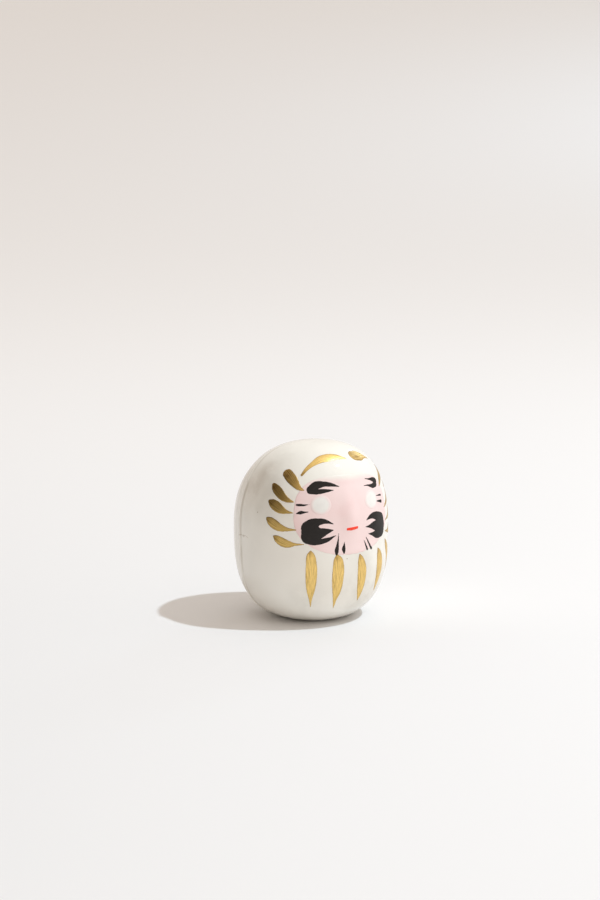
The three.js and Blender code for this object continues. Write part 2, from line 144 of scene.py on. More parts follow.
@dataclass(frozen=True)
class DollForm:
    """The doll's surface: a body of superellipses, a pressed-in face, soft lumps and a seam."""

    height: float
    axis_y: float
    seam_y: float
    base_y: float
    foot_z: float
    radius: float = 42.8
    back_share: float = 0.124
    waist: float = 49.7
    foot_power: float = 2.9
    crown_power: float = 2.463
    crown_swing: float = 0.212
    foot_cut: float = 0.6
    face: FaceOutline = FaceOutline()
    face_depth: float = 0.8
    face_slope: tuple[float, float] = (0.72, 1.04)
    seam_rise: float = 0.6
    seam_half_width: float = 1.4
    seam_fade: float = 12
    swells: tuple[Swell, ...] = (
        Swell(0, 64, 8, 10, 1.4),  # nose
        Swell(-32, 55.5, 12, 8, 0.8),  # cheeks
        Swell(32, 55.5, 12, 8, 0.8),
        Swell(0, 47, 14, 5, 0.5),  # chin
        Swell(-92, 77, 13, 9, -0.9),  # dents and lumps of the hand-pressed pulp
        Swell(-72, 30, 16, 10, 0.35),
        Swell(-100, 40, 12, 14, -0.45),
        Swell(-60, 90, 22, 7, -0.5),
        Swell(80, 72, 15, 12, -0.5),
        Swell(100, 36, 16, 12, 0.4),
        Swell(150, 70, 18, 14, -0.5),
        Swell(-150, 55, 20, 12, 0.45),
        Swell(175, 30, 22, 10, -0.4),
        Swell(-140, 84, 20, 8, -0.4),
    )

    def outside(self, points: Array) -> Array:
        """Tells where points lie against the plain body.

        Args:
            points: rows of x, y and z.

        Returns:
            For each point, a negative number inside, 0 on the surface and a positive one outside.
        """
        x, y, z = points[..., 0], points[..., 1] - self.axis_y, points[..., 2]
        reach = np.hypot(x, y)
        front = -y / np.maximum(reach, TINY)
        crown = z > self.waist
        power = np.where(crown, self.crown_power + self.crown_swing * front, self.foot_power)
        half = np.where(crown, self.height - self.waist, self.waist + self.foot_cut)
        across = reach / (self.radius * (1 - self.back_share * front))
        return across**power + np.abs((z - self.waist) / half) ** power - 1

    def normals(self, points: Array) -> Array:
        """Gives the outward directions of the plain body at points on it.

        Args:
            points: rows of x, y and z.

        Returns:
            One unit vector for each point.
        """
        step = 0.02
        slopes = [
            self.outside(points + step * axis) - self.outside(points - step * axis)
            for axis in np.eye(3)
        ]
        slope = np.stack(slopes, axis=-1)
        return slope / np.linalg.norm(slope, axis=-1, keepdims=True)

    def cast(self, starts: Array, directions: Array, farthest: float) -> Array:
        """Follows rays from inside the body until they come out.

        Args:
            starts: where the rays start, inside the body.
            directions: unit vectors.
            farthest: a distance at which every ray is outside.

        Returns:
            The point where each ray leaves the plain body.
        """
        near = np.zeros(directions.shape[:-1])
        far = np.full(directions.shape[:-1], farthest)
        for _ in range(CAST_HALVINGS):
            middle = (near + far) / 2
            inside = self.outside(starts + middle[..., None] * directions) < 0
            near, far = np.where(inside, middle, near), np.where(inside, far, middle)
        return starts + near[..., None] * directions

    def azimuth(self, points: Array) -> Array:
        """Gives the azimuths of points, in degrees."""
        return np.degrees(np.arctan2(points[..., 0], self.axis_y - points[..., 1]))

    def at(self, azimuth: float, z: float) -> Array:
        """Gives the point of the plain body at an azimuth and a height.

        Args:
            azimuth: the azimuth, in degrees.
            z: the height.

        Returns:
            The point.
        """
        turn = math.radians(azimuth)
        outward = np.array([math.sin(turn), -math.cos(turn), 0.0])
        return self.cast(np.array([0.0, self.axis_y, z]), outward, 2 * self.radius)

    def relief(self, points: Array) -> Array:
        """Says how far the moulded surface stands out of the plain body at points on it.

        Args:
            points: rows of x, y and z.

        Returns:
            The rise at each point.
        """
        azimuth, z = self.azimuth(points), points[..., 2]
        low, high = self.face_slope
        ease = np.clip((self.face.share(azimuth, z) - low) / (high - low), 0, 1)
        rise = -self.face_depth * (1 - ease * ease * (3 - 2 * ease))
        for swell in self.swells:
            rise = rise + swell.rise(azimuth, z)
        from_seam = (points[..., 1] - self.seam_y) / self.seam_half_width
        low_down = np.clip((self.height - z) / self.seam_fade, 0, 1)
        return rise + self.seam_rise * low_down * np.exp(-(from_seam**2))

    def skin(self, points: Array, lift: Array | float) -> Array:
        """Moves points of the plain body out to the moulded surface and a lift above it."""
        rise = self.relief(points) + lift
        return points + self.normals(points) * rise[..., None]


@dataclass(frozen=True)
class TangentFrame:
    """A plane that touches the doll at one point: x goes round the doll and y climbs it."""

    origin: Array
    axes: Array  # rows: round, climb, out

    @classmethod
    def touching(cls, form: DollForm, azimuth: float, z: float) -> "TangentFrame":
        """Makes the plane that touches the doll at an azimuth and a height.

        Args:
            form: the doll's surface.
            azimuth: the azimuth, in degrees.
            z: the height.

        Returns:
            The plane.
        """
        origin = form.at(azimuth, z)
        out = form.normals(origin)
        sideways = np.cross([0, 0, 1], out)
        sideways /= np.linalg.norm(sideways)
        return cls(origin, np.stack([sideways, np.cross(out, sideways), out]))

    def flat(self, point: Array) -> Array:
        """Gives the place in the plane over which a point stands."""
        return (self.axes @ (point - self.origin))[:2]

    def wrap(self, form: DollForm, places: Array) -> Array:
        """Drops places of the plane onto the doll.

        Args:
            form: the doll's surface.
            places: rows of x and y in the plane.

        Returns:
            The points of the plain body under them.
        """
        depth = 0.7 * form.radius
        starts = self.origin + places @ self.axes[:2] - depth * self.axes[2]
        outward = np.broadcast_to(self.axes[2], starts.shape)
        return form.cast(starts, outward, depth + form.radius)


# ---------------------------------------------------------------------------------------------
# Paint films
# ---------------------------------------------------------------------------------------------


def smooth(knots: Array, values: Array, t: Array) -> Array:
    """Draws a smooth curve through rows of values.

    Args:
        knots: where along the curve each row stands.
        values: the rows.
        t: where to read the curve.

    Returns:
        One row for each reading.
    """
    slopes = np.gradient(values, knots, axis=0)
    i = np.clip(np.searchsorted(knots, t, side="right") - 1, 0, len(knots) - 2)
    span = (knots[i + 1] - knots[i])[:, None]
    s = (t - knots[i])[:, None] / span
    start = values[i] * (1 + 2 * s) * (1 - s) ** 2 + slopes[i] * span * s * (1 - s) ** 2
    end = values[i + 1] * s**2 * (3 - 2 * s) - slopes[i + 1] * span * s**2 * (1 - s)
    return start + end


@dataclass(frozen=True)
class Dab:
    """One pull of the brush. Each touch is an azimuth, a height and a width."""

    touches: tuple[Touch, ...]
    finest: float = 0.2

    def line(self, form: DollForm, plane: TangentFrame) -> tuple[Array, Array]:
        """Lays the dab's middle line in a plane.

        Args:
            form: the doll's surface.
            plane: the plane that touches it.

        Returns:
            The places along the line, and half the dab's width at each.
        """
        flat = np.array([plane.flat(form.at(azimuth, z)) for azimuth, z, _ in self.touches])
        steps = np.linalg.norm(np.diff(flat, axis=0), axis=-1)
        knots = np.concatenate([[0], np.cumsum(steps)])
        widths = [[width] for *_, width in self.touches]
        read = smooth(knots, np.hstack([flat, widths]), np.linspace(0, knots[-1], LINE_READINGS))
        return read[:, :2], np.maximum(read[:, 2], self.finest) / 2

    def field(self, form: DollForm, plane: TangentFrame, grid: Array) -> tuple[Array, Array]:
        """Measures a grid of places against the dab.

        Args:
            form: the doll's surface.
            plane: the plane that the grid lies in.
            grid: places in the plane.

        Returns:
            How deep inside the dab each place is, negative outside, and the bristle coordinates of
            each place: how far it is from the dab's line and how far along it.
        """
        line, half = self.line(form, plane)
        heading = np.gradient(line, axis=0)
        heading /= np.linalg.norm(heading, axis=-1, keepdims=True)
        along = np.concatenate([[0], np.cumsum(np.linalg.norm(np.diff(line, axis=0), axis=-1))])
        gap = grid[..., None, :] - line
        depth = half - np.linalg.norm(gap, axis=-1)
        best = depth.argmax(axis=-1)
        nearest = np.take_along_axis(gap, best[..., None, None], axis=-2)[..., 0, :]
        ahead = heading[best]
        across = ahead[..., 0] * nearest[..., 1] - ahead[..., 1] * nearest[..., 0]
        spread = across / half[best] * half.max()
        return depth.max(axis=-1), np.stack([spread, along[best]], axis=-1)


def dab(*touches: Touch) -> Dab:
    """Makes a dab of its touches, from where the brush lands to where it lifts."""
    return Dab(touches)


Motifs = dict[str, tuple[Dab, ...]]  # each motif's dabs, by CAD node


@dataclass
class Film:
    """A layer of paint: the part of a tangent plane's grid where a field is positive, wrapped on
    the doll. It is a thin closed solid whose underside is sunk in the lacquer."""

    name: str
    coat: Coat
    plane: TangentFrame
    cell: float
    thickness: float = 0.07
    edge: float = 0.22
    sunk: float = 0.05
    crossing_margin: float = 0.12
    bristle_height: float = 0.0
    dome: float = 0.0
    coarse_hairs: float = 9.7
    fine_hairs: float = 17.3
    hair_shift: float = 2.0
    hair_bend: float = 0.9
    hair_drift: float = 0.2

    def grid(self, low: Array, high: Array) -> Array:
        """Lays a grid of places over a rectangle of the plane.

        Args:
            low: the rectangle's lower left corner.
            high: its upper right corner.

        Returns:
            The places, as columns of x and y.
        """
        counts = np.ceil((high - low) / self.cell).astype(int) + 1
        lines = [start + self.cell * np.arange(count) for start, count in zip(low, counts)]
        return np.stack(np.meshgrid(*lines, indexing="ij"), axis=-1)

    def trace(self, grid: Array, depth: Array, extra: Array) -> tuple[Array, list[list[int]]]:
        """Cuts the grid along the line where the depth is zero.

        Args:
            grid: the places of the grid.
            depth: how deep inside the paint each place is.
            extra: more numbers at each place, carried along.

        Returns:
            Rows of x, y, depth and the extra numbers for each corner, and the faces over them.
        """
        values = np.concatenate([grid, depth[..., None], extra], axis=-1)
        inside = depth > 0
        corners: list[Array] = []
        known: dict[tuple, int] = {}

        def corner(key: tuple, value: Array) -> int:
            """Gives the number of a corner, which is new the first time.

            Args:
                key: the place or the edge that the corner is on.
                value: the corner's numbers.

            Returns:
                The corner's number.
            """
            if key not in known:
                known[key] = len(corners)
                corners.append(value)
            return known[key]

        def crossing(one: tuple[int, int], two: tuple[int, int]) -> int:
            """Gives the corner where the edge between two places leaves the paint.

            Args:
                one: the first place.
                two: the second place.

            Returns:
                The corner's number.
            """
            one, two = min(one, two), max(one, two)
            share = depth[one] / (depth[one] - depth[two])
            share = min(max(share, self.crossing_margin), 1 - self.crossing_margin)
            value = values[one] * (1 - share) + values[two] * share
            value[2] = 0
            return corner((one, two), value)

        faces = []
        some = inside[:-1, :-1] | inside[1:, :-1] | inside[:-1, 1:] | inside[1:, 1:]
        for i, j in np.argwhere(some):
            square = [(i, j), (i + 1, j), (i + 1, j + 1), (i, j + 1)]
            face = []
            for here, there in zip(square, square[1:] + square[:1]):
                if inside[here]:
                    face.append(corner((here,), values[here]))
                if inside[here] != inside[there]:
                    face.append(crossing(here, there))
            faces.append(face)
        return np.array(corners), faces

    def build(self, form: DollForm, grid: Array, depth: Array, bristles: Array) -> Piece:
        """Makes the film's object.

        Args:
            form: the doll's surface.
            grid: the places of the grid.
            depth: how deep inside the paint each place is.
            bristles: the bristle coordinates of each place.

        Returns:
            The object, without a material.
        """
        corners, faces = self.trace(grid, depth, bristles)
        inward, across, along = corners[:, 2], corners[:, 3], corners[:, 4]
        rise = 1 - np.exp(-inward / self.edge)
        ridges = np.sin(across * self.coarse_hairs + np.sin(along * self.hair_bend))
        ridges += np.sin(across * self.fine_hairs + self.hair_shift + along * self.hair_drift)
        swell = np.clip(inward / max(inward.max(), TINY), 0, 1)
        lift = self.coat.value + self.thickness * rise + self.bristle_height * rise * ridges
        lift = lift + self.dome * np.sqrt(1 - (1 - swell) ** 2)
        plain = self.plane.wrap(form, corners[:, :2])
        points = np.concatenate([form.skin(plain, lift), form.skin(plain, -self.sunk)])
        count = len(corners)
        edges = {(a, b) for face in faces for a, b in zip(face, face[1:] + face[:1])}
        rim = [(a, b) for a, b in edges if (b, a) not in edges]
        under = [[corner + count for corner in reversed(face)] for face in faces]
        walls = [[b, a, a + count, b + count] for a, b in sorted(rim)]
        made = new_object(self.name, points, faces + under + walls)
        for name, values in (("across", across), ("along", along), ("inward", inward)):
            layer = made.data.attributes.new(name, "FLOAT", "POINT")
            layer.data.foreach_set("value", np.concatenate([values, values]).astype(np.float32))
        return made


def new_object(name: str, points: Array, faces: list[list[int]]) -> Piece:
    """Makes a smooth mesh object.

    Args:
        name: the piece's name.
        points: rows of x, y and z in millimetres.
        faces: the corners of each face.

    Returns:
        The object, linked to the scene.
    """
    mesh = bpy.data.meshes.new(name)
    mesh.from_pydata((points * MM).tolist(), [], faces)
    mesh.shade_smooth()
    made = bpy.data.objects.new(name, mesh)
    bpy.context.scene.collection.objects.link(made)
    return made


# ---------------------------------------------------------------------------------------------
# Finishes
# ---------------------------------------------------------------------------------------------


@dataclass(frozen=True)
class Clouds:
    """Noise stretched over a range: its scale in waves per metre, its detail and its roughness, the
    part of its range that counts, and what that part becomes."""

    scale: float
    detail: float
    rough: float
    low: float
    high: float
    to_low: float = 0.0
    to_high: float = 1.0


@dataclass(frozen=True)
class Fade:
    """A mark that is strongest up to an inner distance and gone at an outer one, in millimetres."""

    inner: float
    outer: float
    most: float = 1.0


class Sketch:
    """A material in the making: adds nodes and joins them."""

    def __init__(self, name: str) -> None:
        """Starts a material with a plain shader.

        Args:
            name: the material's name.
        """
        self.material = bpy.data.materials.new(name)
        self.material.use_nodes = True
        self.tree = self.material.node_tree
        self.shader = self.tree.nodes["Principled BSDF"]
        self.place = self.add("ShaderNodeTexCoord").outputs["Object"]

    def add(self, kind: str, **settings: object) -> bpy.types.Node:
        """Adds a node and sets its properties.

        Args:
            kind: the node's type.
            **settings: its properties.

        Returns:
            The node.
        """
        node = self.tree.nodes.new(kind)
        for name, value in settings.items():
            setattr(node, name, value)
        return node

    def feed(self, node: bpy.types.Node, socket: str | int, value: object) -> None:
        """Joins an output to a node's input, or sets the input's value.

        Args:
            node: the node.
            socket: the input's name or number.
            value: another node's output, or a plain value.
        """
        if isinstance(value, Socket):
            self.tree.links.new(value, node.inputs[socket])
        else:
            node.inputs[socket].default_value = value

    def maths(self, operation: str, one: object, two: object = 0.0) -> Socket:
        """Works out one number from two.

        Args:
            operation: what to do with them.
            one: the first number.
            two: the second number.

        Returns:
            The result.
        """
        node = self.add("ShaderNodeMath", operation=operation)
        self.feed(node, 0, one)
        self.feed(node, 1, two)
        return node.outputs[0]

    def times(self, one: object, two: object) -> Socket:
        """Multiplies two numbers."""
        return self.maths("MULTIPLY", one, two)

    def plus(self, one: object, two: object) -> Socket:
        """Adds two numbers."""
        return self.maths("ADD", one, two)

    def noise(self, scale: float, detail: float, rough: float, where: object = None) -> Socket:
        """Adds cloudy noise, from about 0.3 to 0.7.

        Args:
            scale: waves per metre, or per unit of the places given.
            detail: how many finer layers it has.
            rough: how strong they are.
            where: the places to read it at, or None for those of the piece itself.

        Returns:
            The noise.
        """
        node = self.add("ShaderNodeTexNoise")
        self.feed(node, "Vector", self.place if where is None else where)
        for socket, number in (("Scale", scale), ("Detail", detail), ("Roughness", rough)):
            self.feed(node, socket, number)
        return node.outputs["Fac"]

    def remap(
        self, value: object, low: float, high: float, to_low: float = 0.0, to_high: float = 1.0
    ) -> Socket:
        """Stretches a range of values smoothly over another one.

        Args:
            value: the value.
            low: where the range starts.
            high: where it ends.
            to_low: what its start becomes.
            to_high: what its end becomes.

        Returns:
            The new value.
        """
        node = self.add("ShaderNodeMapRange", interpolation_type="SMOOTHSTEP")
        for socket, number in enumerate((value, low, high, to_low, to_high)):
            self.feed(node, socket, number)
        return node.outputs[0]

    def clouds(self, look: Clouds, where: object = None) -> Socket:
        """Adds noise and stretches it over its range."""
        noise = self.noise(look.scale, look.detail, look.rough, where)
        return self.remap(noise, look.low, look.high, look.to_low, look.to_high)

    def fade(self, distance: Socket, look: Fade) -> Socket:
        """Gives the strength of a mark at a distance from it."""
        return self.remap(distance, look.inner, look.outer, look.most, 0.0)

    def near(self, spot: Array, look: Fade) -> Socket:
        """Gives the strength of a mark that sits at a point."""
        return self.fade(self.distance(spot), look)

    def mix(self, share: object, one: object, two: object) -> Socket:
        """Mixes two colours.

        Args:
            share: how much of the second colour, from 0 to 1.
            one: the first colour.
            two: the second colour.

        Returns:
            The mixed colour.
        """
        node = self.add("ShaderNodeMix", data_type="RGBA")
        self.feed(node, "Factor", share)
        for socket, colour in ((6, one), (7, two)):
            self.feed(node, socket, (*colour, 1) if isinstance(colour, tuple) else colour)
        return node.outputs[2]

    def attribute(self, name: str) -> Socket:
        """Reads a number stored on the mesh."""
        return self.add("ShaderNodeAttribute", attribute_name=name).outputs["Fac"]

    def bristles(self, across: float, along: float, offset: float = 0.0) -> Socket:
        """Gives a film's bristle coordinates as places for noise.

        Args:
            across: how much the noise is squeezed across the bristles.
            along: how much it is squeezed along them.
            offset: a shift that gives another noise.

        Returns:
            The places.
        """
        node = self.add("ShaderNodeCombineXYZ")
        self.feed(node, 0, self.times(self.attribute("across"), across))
        self.feed(node, 1, self.times(self.attribute("along"), along))
        self.feed(node, 2, offset)
        return node.outputs[0]

    def distance(self, centre: Iterable[float]) -> Socket:
        """Measures how far a place is from a point.

        Args:
            centre: the point, in millimetres.

        Returns:
            The distance in millimetres.
        """
        node = self.add("ShaderNodeVectorMath", operation="DISTANCE")
        self.feed(node, 0, self.place)
        self.feed(node, 1, tuple(float(c) * MM for c in centre))
        return self.maths("DIVIDE", node.outputs["Value"], MM)

    def coordinate(self, axis: str) -> Socket:
        """Gives one coordinate of a place.

        Args:
            axis: X, Y or Z.

        Returns:
            The coordinate in millimetres.
        """
        node = self.add("ShaderNodeSeparateXYZ")
        self.feed(node, 0, self.place)
        return self.maths("DIVIDE", node.outputs[axis], MM)

    def bump(self, height: object, depth: float, strength: float) -> None:
        """Bumps the shader's surface.

        Args:
            height: the surface's height, from 0 to 1.
            depth: what a height of 1 is, in millimetres.
            strength: how much of the bump shows.
        """
        node = self.add("ShaderNodeBump")
        self.feed(node, "Height", height)
        self.feed(node, "Distance", depth * MM)
        self.feed(node, "Strength", strength)
        self.feed(self.shader, "Normal", node.outputs[0])

    def surface(self, **inputs: object) -> None:
        """Sets the shader's inputs.

        Args:
            **inputs: their values, each under its input's name with _ for a space.
        """
        for name, value in inputs.items():
            whole = (*value, 1) if isinstance(value, tuple) else value
            self.feed(self.shader, name.replace("_", " "), whole)


class Finish:
    """What every finish can do: paint one material and put it on pieces."""

    name: str

    def paint(self, sketch: Sketch) -> None:
        """Fills in the material; every finish does it in its own way."""
        raise NotImplementedError(self.name)

    def dress(self, *pieces: Piece) -> None:
        """Puts the finish on pieces in place of what they have.

        Args:
            *pieces: the pieces, which share one material.
        """
        sketch = Sketch(self.name)
        self.paint(sketch)
        for piece in pieces:
            piece.data.materials.clear()
            piece.data.materials.append(sketch.material)
        LOG.info("%s: on %d pieces", self.name, len(pieces))


@dataclass(frozen=True)
class Plain(Finish):
    """One even colour."""

    name: str
    colour: Colour
    roughness: float
    specular: float

    def paint(self, sketch: Sketch) -> None:
        """Sets the shader to the colour."""
        sketch.surface(Base_Color=self.colour, Roughness=self.roughness)
        sketch.surface(Specular_IOR_Level=self.specular)


@dataclass(frozen=True)
class Lacquer(Finish):
    """Ivory lacquer over gesso: clouded and specked, with painted shade in patches on the left
    flank and in a line in front of the seam, and a smudge at the back.
    """

    form: DollForm
    name: str = "ivory_lacquer"
    light: Colour = (0.895, 0.87, 0.803)
    clouded: Colour = (0.7, 0.67, 0.6)
    shade_and_smudge_colour: Colour = (0.5, 0.43, 0.35)
    # the colour of the painted shade patches and seam line, and of the one smudge at the back
    stain: Colour = (0.33, 0.24, 0.13)
    cloud: Clouds = Clouds(42, 4, 0.55, 0.4, 0.66)
    patches: Clouds = Clouds(17, 2, 0.5, 0.4, 0.6)
    cloud_share: float = 0.6
    # painted shade over the dent on the left flank (the first two spots), and a smudge at the back
    # (the third)
    shade_and_smudge_spots: tuple[Touch, ...] = ((-94, 77, 12), (-84, 86, 9), (175, 52, 10))
    spot_core: float = 0.2
    blot: Clouds = Clouds(120, 4, 0.6, 0.3, 0.65, 0.12, 0.38)
    # painted shade: a dark line just in front of the seam ridge
    seam_shade_shift: float = 1.5
    seam_shade: Fade = Fade(0.15, 1.1, 0.42)
    seam_breaks: Clouds = Clouds(70, 2, 0.5, 0.36, 0.56, 0.25, 1.0)
    cracks: tuple[Touch, ...] = ((-98.5, 48.8, 6.5),)
    crack_core: float = 0.6
    crack_noise: Noise = (230, 4, 0.6)
    crack_wander: float = 5
    vein: Fade = Fade(0.08, 0.4, 0.5)
    specks: tuple[tuple[float, float], ...] = ((-81.2, 64), (-3.9, 39.7), (118, 58), (-160, 35))
    speck: Fade = Fade(0.18, 0.39, 0.85)
    brush_noise: Noise = (95, 2, 0.5)
    brush_height: float = 3.0
    gesso_noise: Noise = (900, 3, 0.6)
    gesso_height: float = 0.35
    gloss: Clouds = Clouds(60, 3, 0.6, 0.35, 0.65, 0.46, 0.58)
    specular: float = 0.12
    coat: float = 0.8
    coat_roughness: float = 0.055
    bump: tuple[float, float] = (0.12, 0.8)

    def colour(self, sketch: Sketch) -> Socket:
        """Adds the lacquer's colour to a sketch.

        Args:
            sketch: the material in the making.

        Returns:
            The colour's socket.
        """
        cloud = sketch.times(sketch.clouds(self.cloud), sketch.clouds(self.patches))
        colour = sketch.mix(sketch.times(cloud, self.cloud_share), self.light, self.clouded)
        blot = sketch.clouds(self.blot)
        # painted shade: darker patches over the dent on the left flank, and a smudge at the back
        for azimuth, z, spread in self.shade_and_smudge_spots:
            near = sketch.near(self.form.at(azimuth, z), Fade(self.spot_core * spread, spread))
            colour = sketch.mix(sketch.times(near, blot), colour, self.shade_and_smudge_colour)
        # painted shade: a dark line along the front side of the seam ridge, broken by noise
        seam_shade_y = self.form.seam_y - self.seam_shade_shift
        off_seam = sketch.maths("ABSOLUTE", sketch.plus(sketch.coordinate("Y"), -seam_shade_y))
        seam_shade_share = sketch.times(sketch.fade(off_seam, self.seam_shade), sketch.clouds(self.seam_breaks))
        colour = sketch.mix(seam_shade_share, colour, self.shade_and_smudge_colour)
        for azimuth, z, spread in self.cracks:
            near = sketch.near(self.form.at(azimuth, z), Fade(self.crack_core * spread, spread))
            wander = sketch.times(sketch.noise(*self.crack_noise), self.crack_wander)
            off = sketch.plus(sketch.coordinate("Z"), -(z + self.crack_wander / 2))
            vein = sketch.fade(sketch.maths("ABSOLUTE", sketch.plus(off, wander)), self.vein)
            colour = sketch.mix(sketch.times(near, vein), colour, self.stain)
        for azimuth, z in self.specks:
            spot = sketch.near(self.form.at(azimuth, z), self.speck)
            colour = sketch.mix(spot, colour, self.stain)
        return colour

    def grain(self, sketch: Sketch) -> Socket:
        """Adds the height of the brushed gesso under the lacquer.

        Args:
            sketch: the material in the making.

        Returns:
            The height's socket.
        """
        broad = sketch.times(sketch.noise(*self.brush_noise), self.brush_height)
        fine = sketch.times(sketch.noise(*self.gesso_noise), self.gesso_height)
        return sketch.plus(broad, fine)

    def paint(self, sketch: Sketch) -> None:
        """Fills in the lacquer.

        Args:
            sketch: the material in the making.
        """
        sketch.surface(Base_Color=self.colour(sketch), Roughness=sketch.clouds(self.gloss))
        sketch.surface(Coat_Weight=self.coat, Coat_Roughness=self.coat_roughness)
        sketch.surface(Specular_IOR_Level=self.specular)
        sketch.bump(self.grain(sketch), *self.bump)


@dataclass(frozen=True)
class FacePink(Finish):
    """Matte pink, brushed thin towards the top, where the ivory shows through."""

    lacquer: Lacquer
    name: str = "matte_pink"
    pink: Colour = (0.9, 0.715, 0.695)
    deep: Colour = (0.88, 0.64, 0.62)
    cloud: Clouds = Clouds(48, 3, 0.55, 0.4, 0.65)
    cloud_share: float = 0.5
    fade: tuple[float, float] = (80.5, 85.5)
    ragged_noise: Noise = (130, 3, 0.5)
    raggedness: float = 3.0
    roughness: tuple[float, float] = (0.62, 0.42)
    specular: float = 0.4
    grain_noise: Noise = (2600, 2, 0.6)
    bump: tuple[float, float] = (0.05, 0.7)

    def paint(self, sketch: Sketch) -> None:
        """Fills in the pink.

        Args:
            sketch: the material in the making.
        """
        cloud = sketch.times(sketch.clouds(self.cloud), self.cloud_share)
        ragged = sketch.times(sketch.noise(*self.ragged_noise), self.raggedness)
        low, high = (z + self.raggedness / 2 for z in self.fade)
        thin = sketch.remap(sketch.plus(sketch.coordinate("Z"), ragged), low, high)
        pink = sketch.mix(cloud, self.pink, self.deep)
        sketch.surface(Base_Color=sketch.mix(thin, pink, self.lacquer.colour(sketch)))
        sketch.surface(Roughness=sketch.remap(thin, 0.0, 1.0, *self.roughness))
        sketch.surface(Specular_IOR_Level=self.specular)
        grain = sketch.plus(self.lacquer.grain(sketch), sketch.noise(*self.grain_noise))
        sketch.bump(grain, *self.bump)


@dataclass(frozen=True)
class Gold(Finish):
    """Gold paint with bristle streaks, thinner and browner where the brush ran dry."""

    name: str
    bright: Colour
    dull: Colour
    hairs: tuple[float, float] = (2.1, 0.13)
    streaks: Noise = (1, 3, 0.65)
    dry_streaks: Range = (0.42, 0.66, 0.0, 0.62)
    pool_squeeze: tuple[float, float, float] = (0.25, 0.13, 7.0)
    pools: Clouds = Clouds(1, 2, 0.5, 0.5, 0.75, 0.0, 0.3)
    landing: Fade = Fade(0.5, 4.0)
    landing_streaks: Range = (0.3, 0.6, 0.1, 0.5)
    rim: Fade = Fade(0.05, 0.5, 0.35)
    roughness: Range = (0.3, 0.7, 0.3, 0.46)
    flakes: Noise = (2200, 2, 0.7)
    flake_height: float = 0.5
    bump: tuple[float, float] = (0.06, 0.9)

    def paint(self, sketch: Sketch) -> None:
        """Fills in the gold.

        Args:
            sketch: the material in the making.
        """
        streak = sketch.noise(*self.streaks, sketch.bristles(*self.hairs))
        pool = sketch.clouds(self.pools, sketch.bristles(*self.pool_squeeze))
        landed = sketch.fade(sketch.attribute("along"), self.landing)
        landed = sketch.times(landed, sketch.remap(streak, *self.landing_streaks))
        thin = sketch.plus(sketch.remap(streak, *self.dry_streaks), sketch.plus(pool, landed))
        thin = sketch.plus(thin, sketch.fade(sketch.attribute("inward"), self.rim))
        sketch.surface(Base_Color=sketch.mix(thin, self.bright, self.dull), Metallic=1.0)
        sketch.surface(Roughness=sketch.remap(streak, *self.roughness))
        flakes = sketch.times(sketch.noise(*self.flakes), self.flake_height)
        sketch.bump(sketch.plus(streak, flakes), *self.bump)


@dataclass(frozen=True)
class Ink(Finish):
    """Opaque black or red paint, with a satin skin and faint brush marks."""

    name: str
    full: Colour
    dry: Colour
    hairs: tuple[float, float] = (2.6, 0.12)
    streaks: Noise = (1, 3, 0.6)
    dry_streaks: Range = (0.35, 0.75, 0.0, 1.0)
    roughness: Range = (0.3, 0.7, 0.38, 0.55)
    specular: float = 0.3
    bump: tuple[float, float] = (0.04, 0.8)

    def paint(self, sketch: Sketch) -> None:
        """Fills in the paint.

        Args:
            sketch: the material in the making.
        """
        streak = sketch.noise(*self.streaks, sketch.bristles(*self.hairs))
        dry = sketch.remap(streak, *self.dry_streaks)
        sketch.surface(Base_Color=sketch.mix(dry, self.full, self.dry))
        sketch.surface(Roughness=sketch.remap(streak, *self.roughness))
        sketch.surface(Specular_IOR_Level=self.specular)
        sketch.bump(streak, *self.bump)


@dataclass(frozen=True)
class EyeWhite(Finish):
    """Thick white, a little grey and uneven where two coats meet."""

    name: str = "eye_white"
    white: Colour = (0.875, 0.855, 0.815)
    grey: Colour = (0.78, 0.765, 0.73)
    thin: Colour = (0.9, 0.73, 0.71)
    cloud: Clouds = Clouds(200, 3, 0.6, 0.42, 0.68, 0.0, 1.0)
    cloud_share: float = 0.3
    cover: tuple[float, float] = (-0.2, 2.0)
    roughness: float = 0.5
    skin_noise: Noise = (420, 3, 0.6)
    bump: tuple[float, float] = (0.06, 0.8)

    def paint(self, sketch: Sketch) -> None:
        """Fills in the white.

        Args:
            sketch: the material in the making.
        """
        cloud = sketch.times(sketch.clouds(self.cloud), self.cloud_share)
        cover = sketch.remap(sketch.attribute("inward"), *self.cover)
        white = sketch.mix(cloud, self.white, self.grey)
        sketch.surface(Base_Color=sketch.mix(cover, self.thin, white), Roughness=self.roughness)
        sketch.bump(sketch.noise(*self.skin_noise), *self.bump)


@dataclass(frozen=True)
class RawStuff(Finish):
    """An unpainted inner piece: paper or fired clay, with a coarse grain."""

    name: str
    light: Colour
    dark: Colour
    scale: float
    depth: float
    roughness: float = 0.88
    mottle: Range = (5, 0.65, 0.35, 0.68)  # detail and roughness, and the range that counts
    pits: Noise = (6, 3, 0.7)  # how much finer than the mottle, detail and roughness
    strength: float = 0.8

    def paint(self, sketch: Sketch) -> None:
        """Fills in the raw stuff.

        Args:
            sketch: the material in the making.
        """
        cloud = sketch.clouds(Clouds(self.scale, *self.mottle))
        colour = sketch.mix(cloud, self.light, self.dark)
        sketch.surface(Base_Color=colour, Roughness=self.roughness)
        finer, detail, rough = self.pits
        pits = sketch.noise(finer * self.scale, detail, rough)
        sketch.bump(pits, self.depth, self.strength)


# ---------------------------------------------------------------------------------------------
# Sub-assemblies
# ---------------------------------------------------------------------------------------------


def settle(piece: Piece, node: str) -> None:
    """Puts a piece in the place of a CAD node: it rides on the body and stands for the node, which
    is hidden.

    Args:
        piece: the piece.
        node: the CAD node's name.
    """
    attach(piece, BODY)
    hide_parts(node)
    LOG.info("%s: %d faces", piece.name, len(piece.data.polygons))


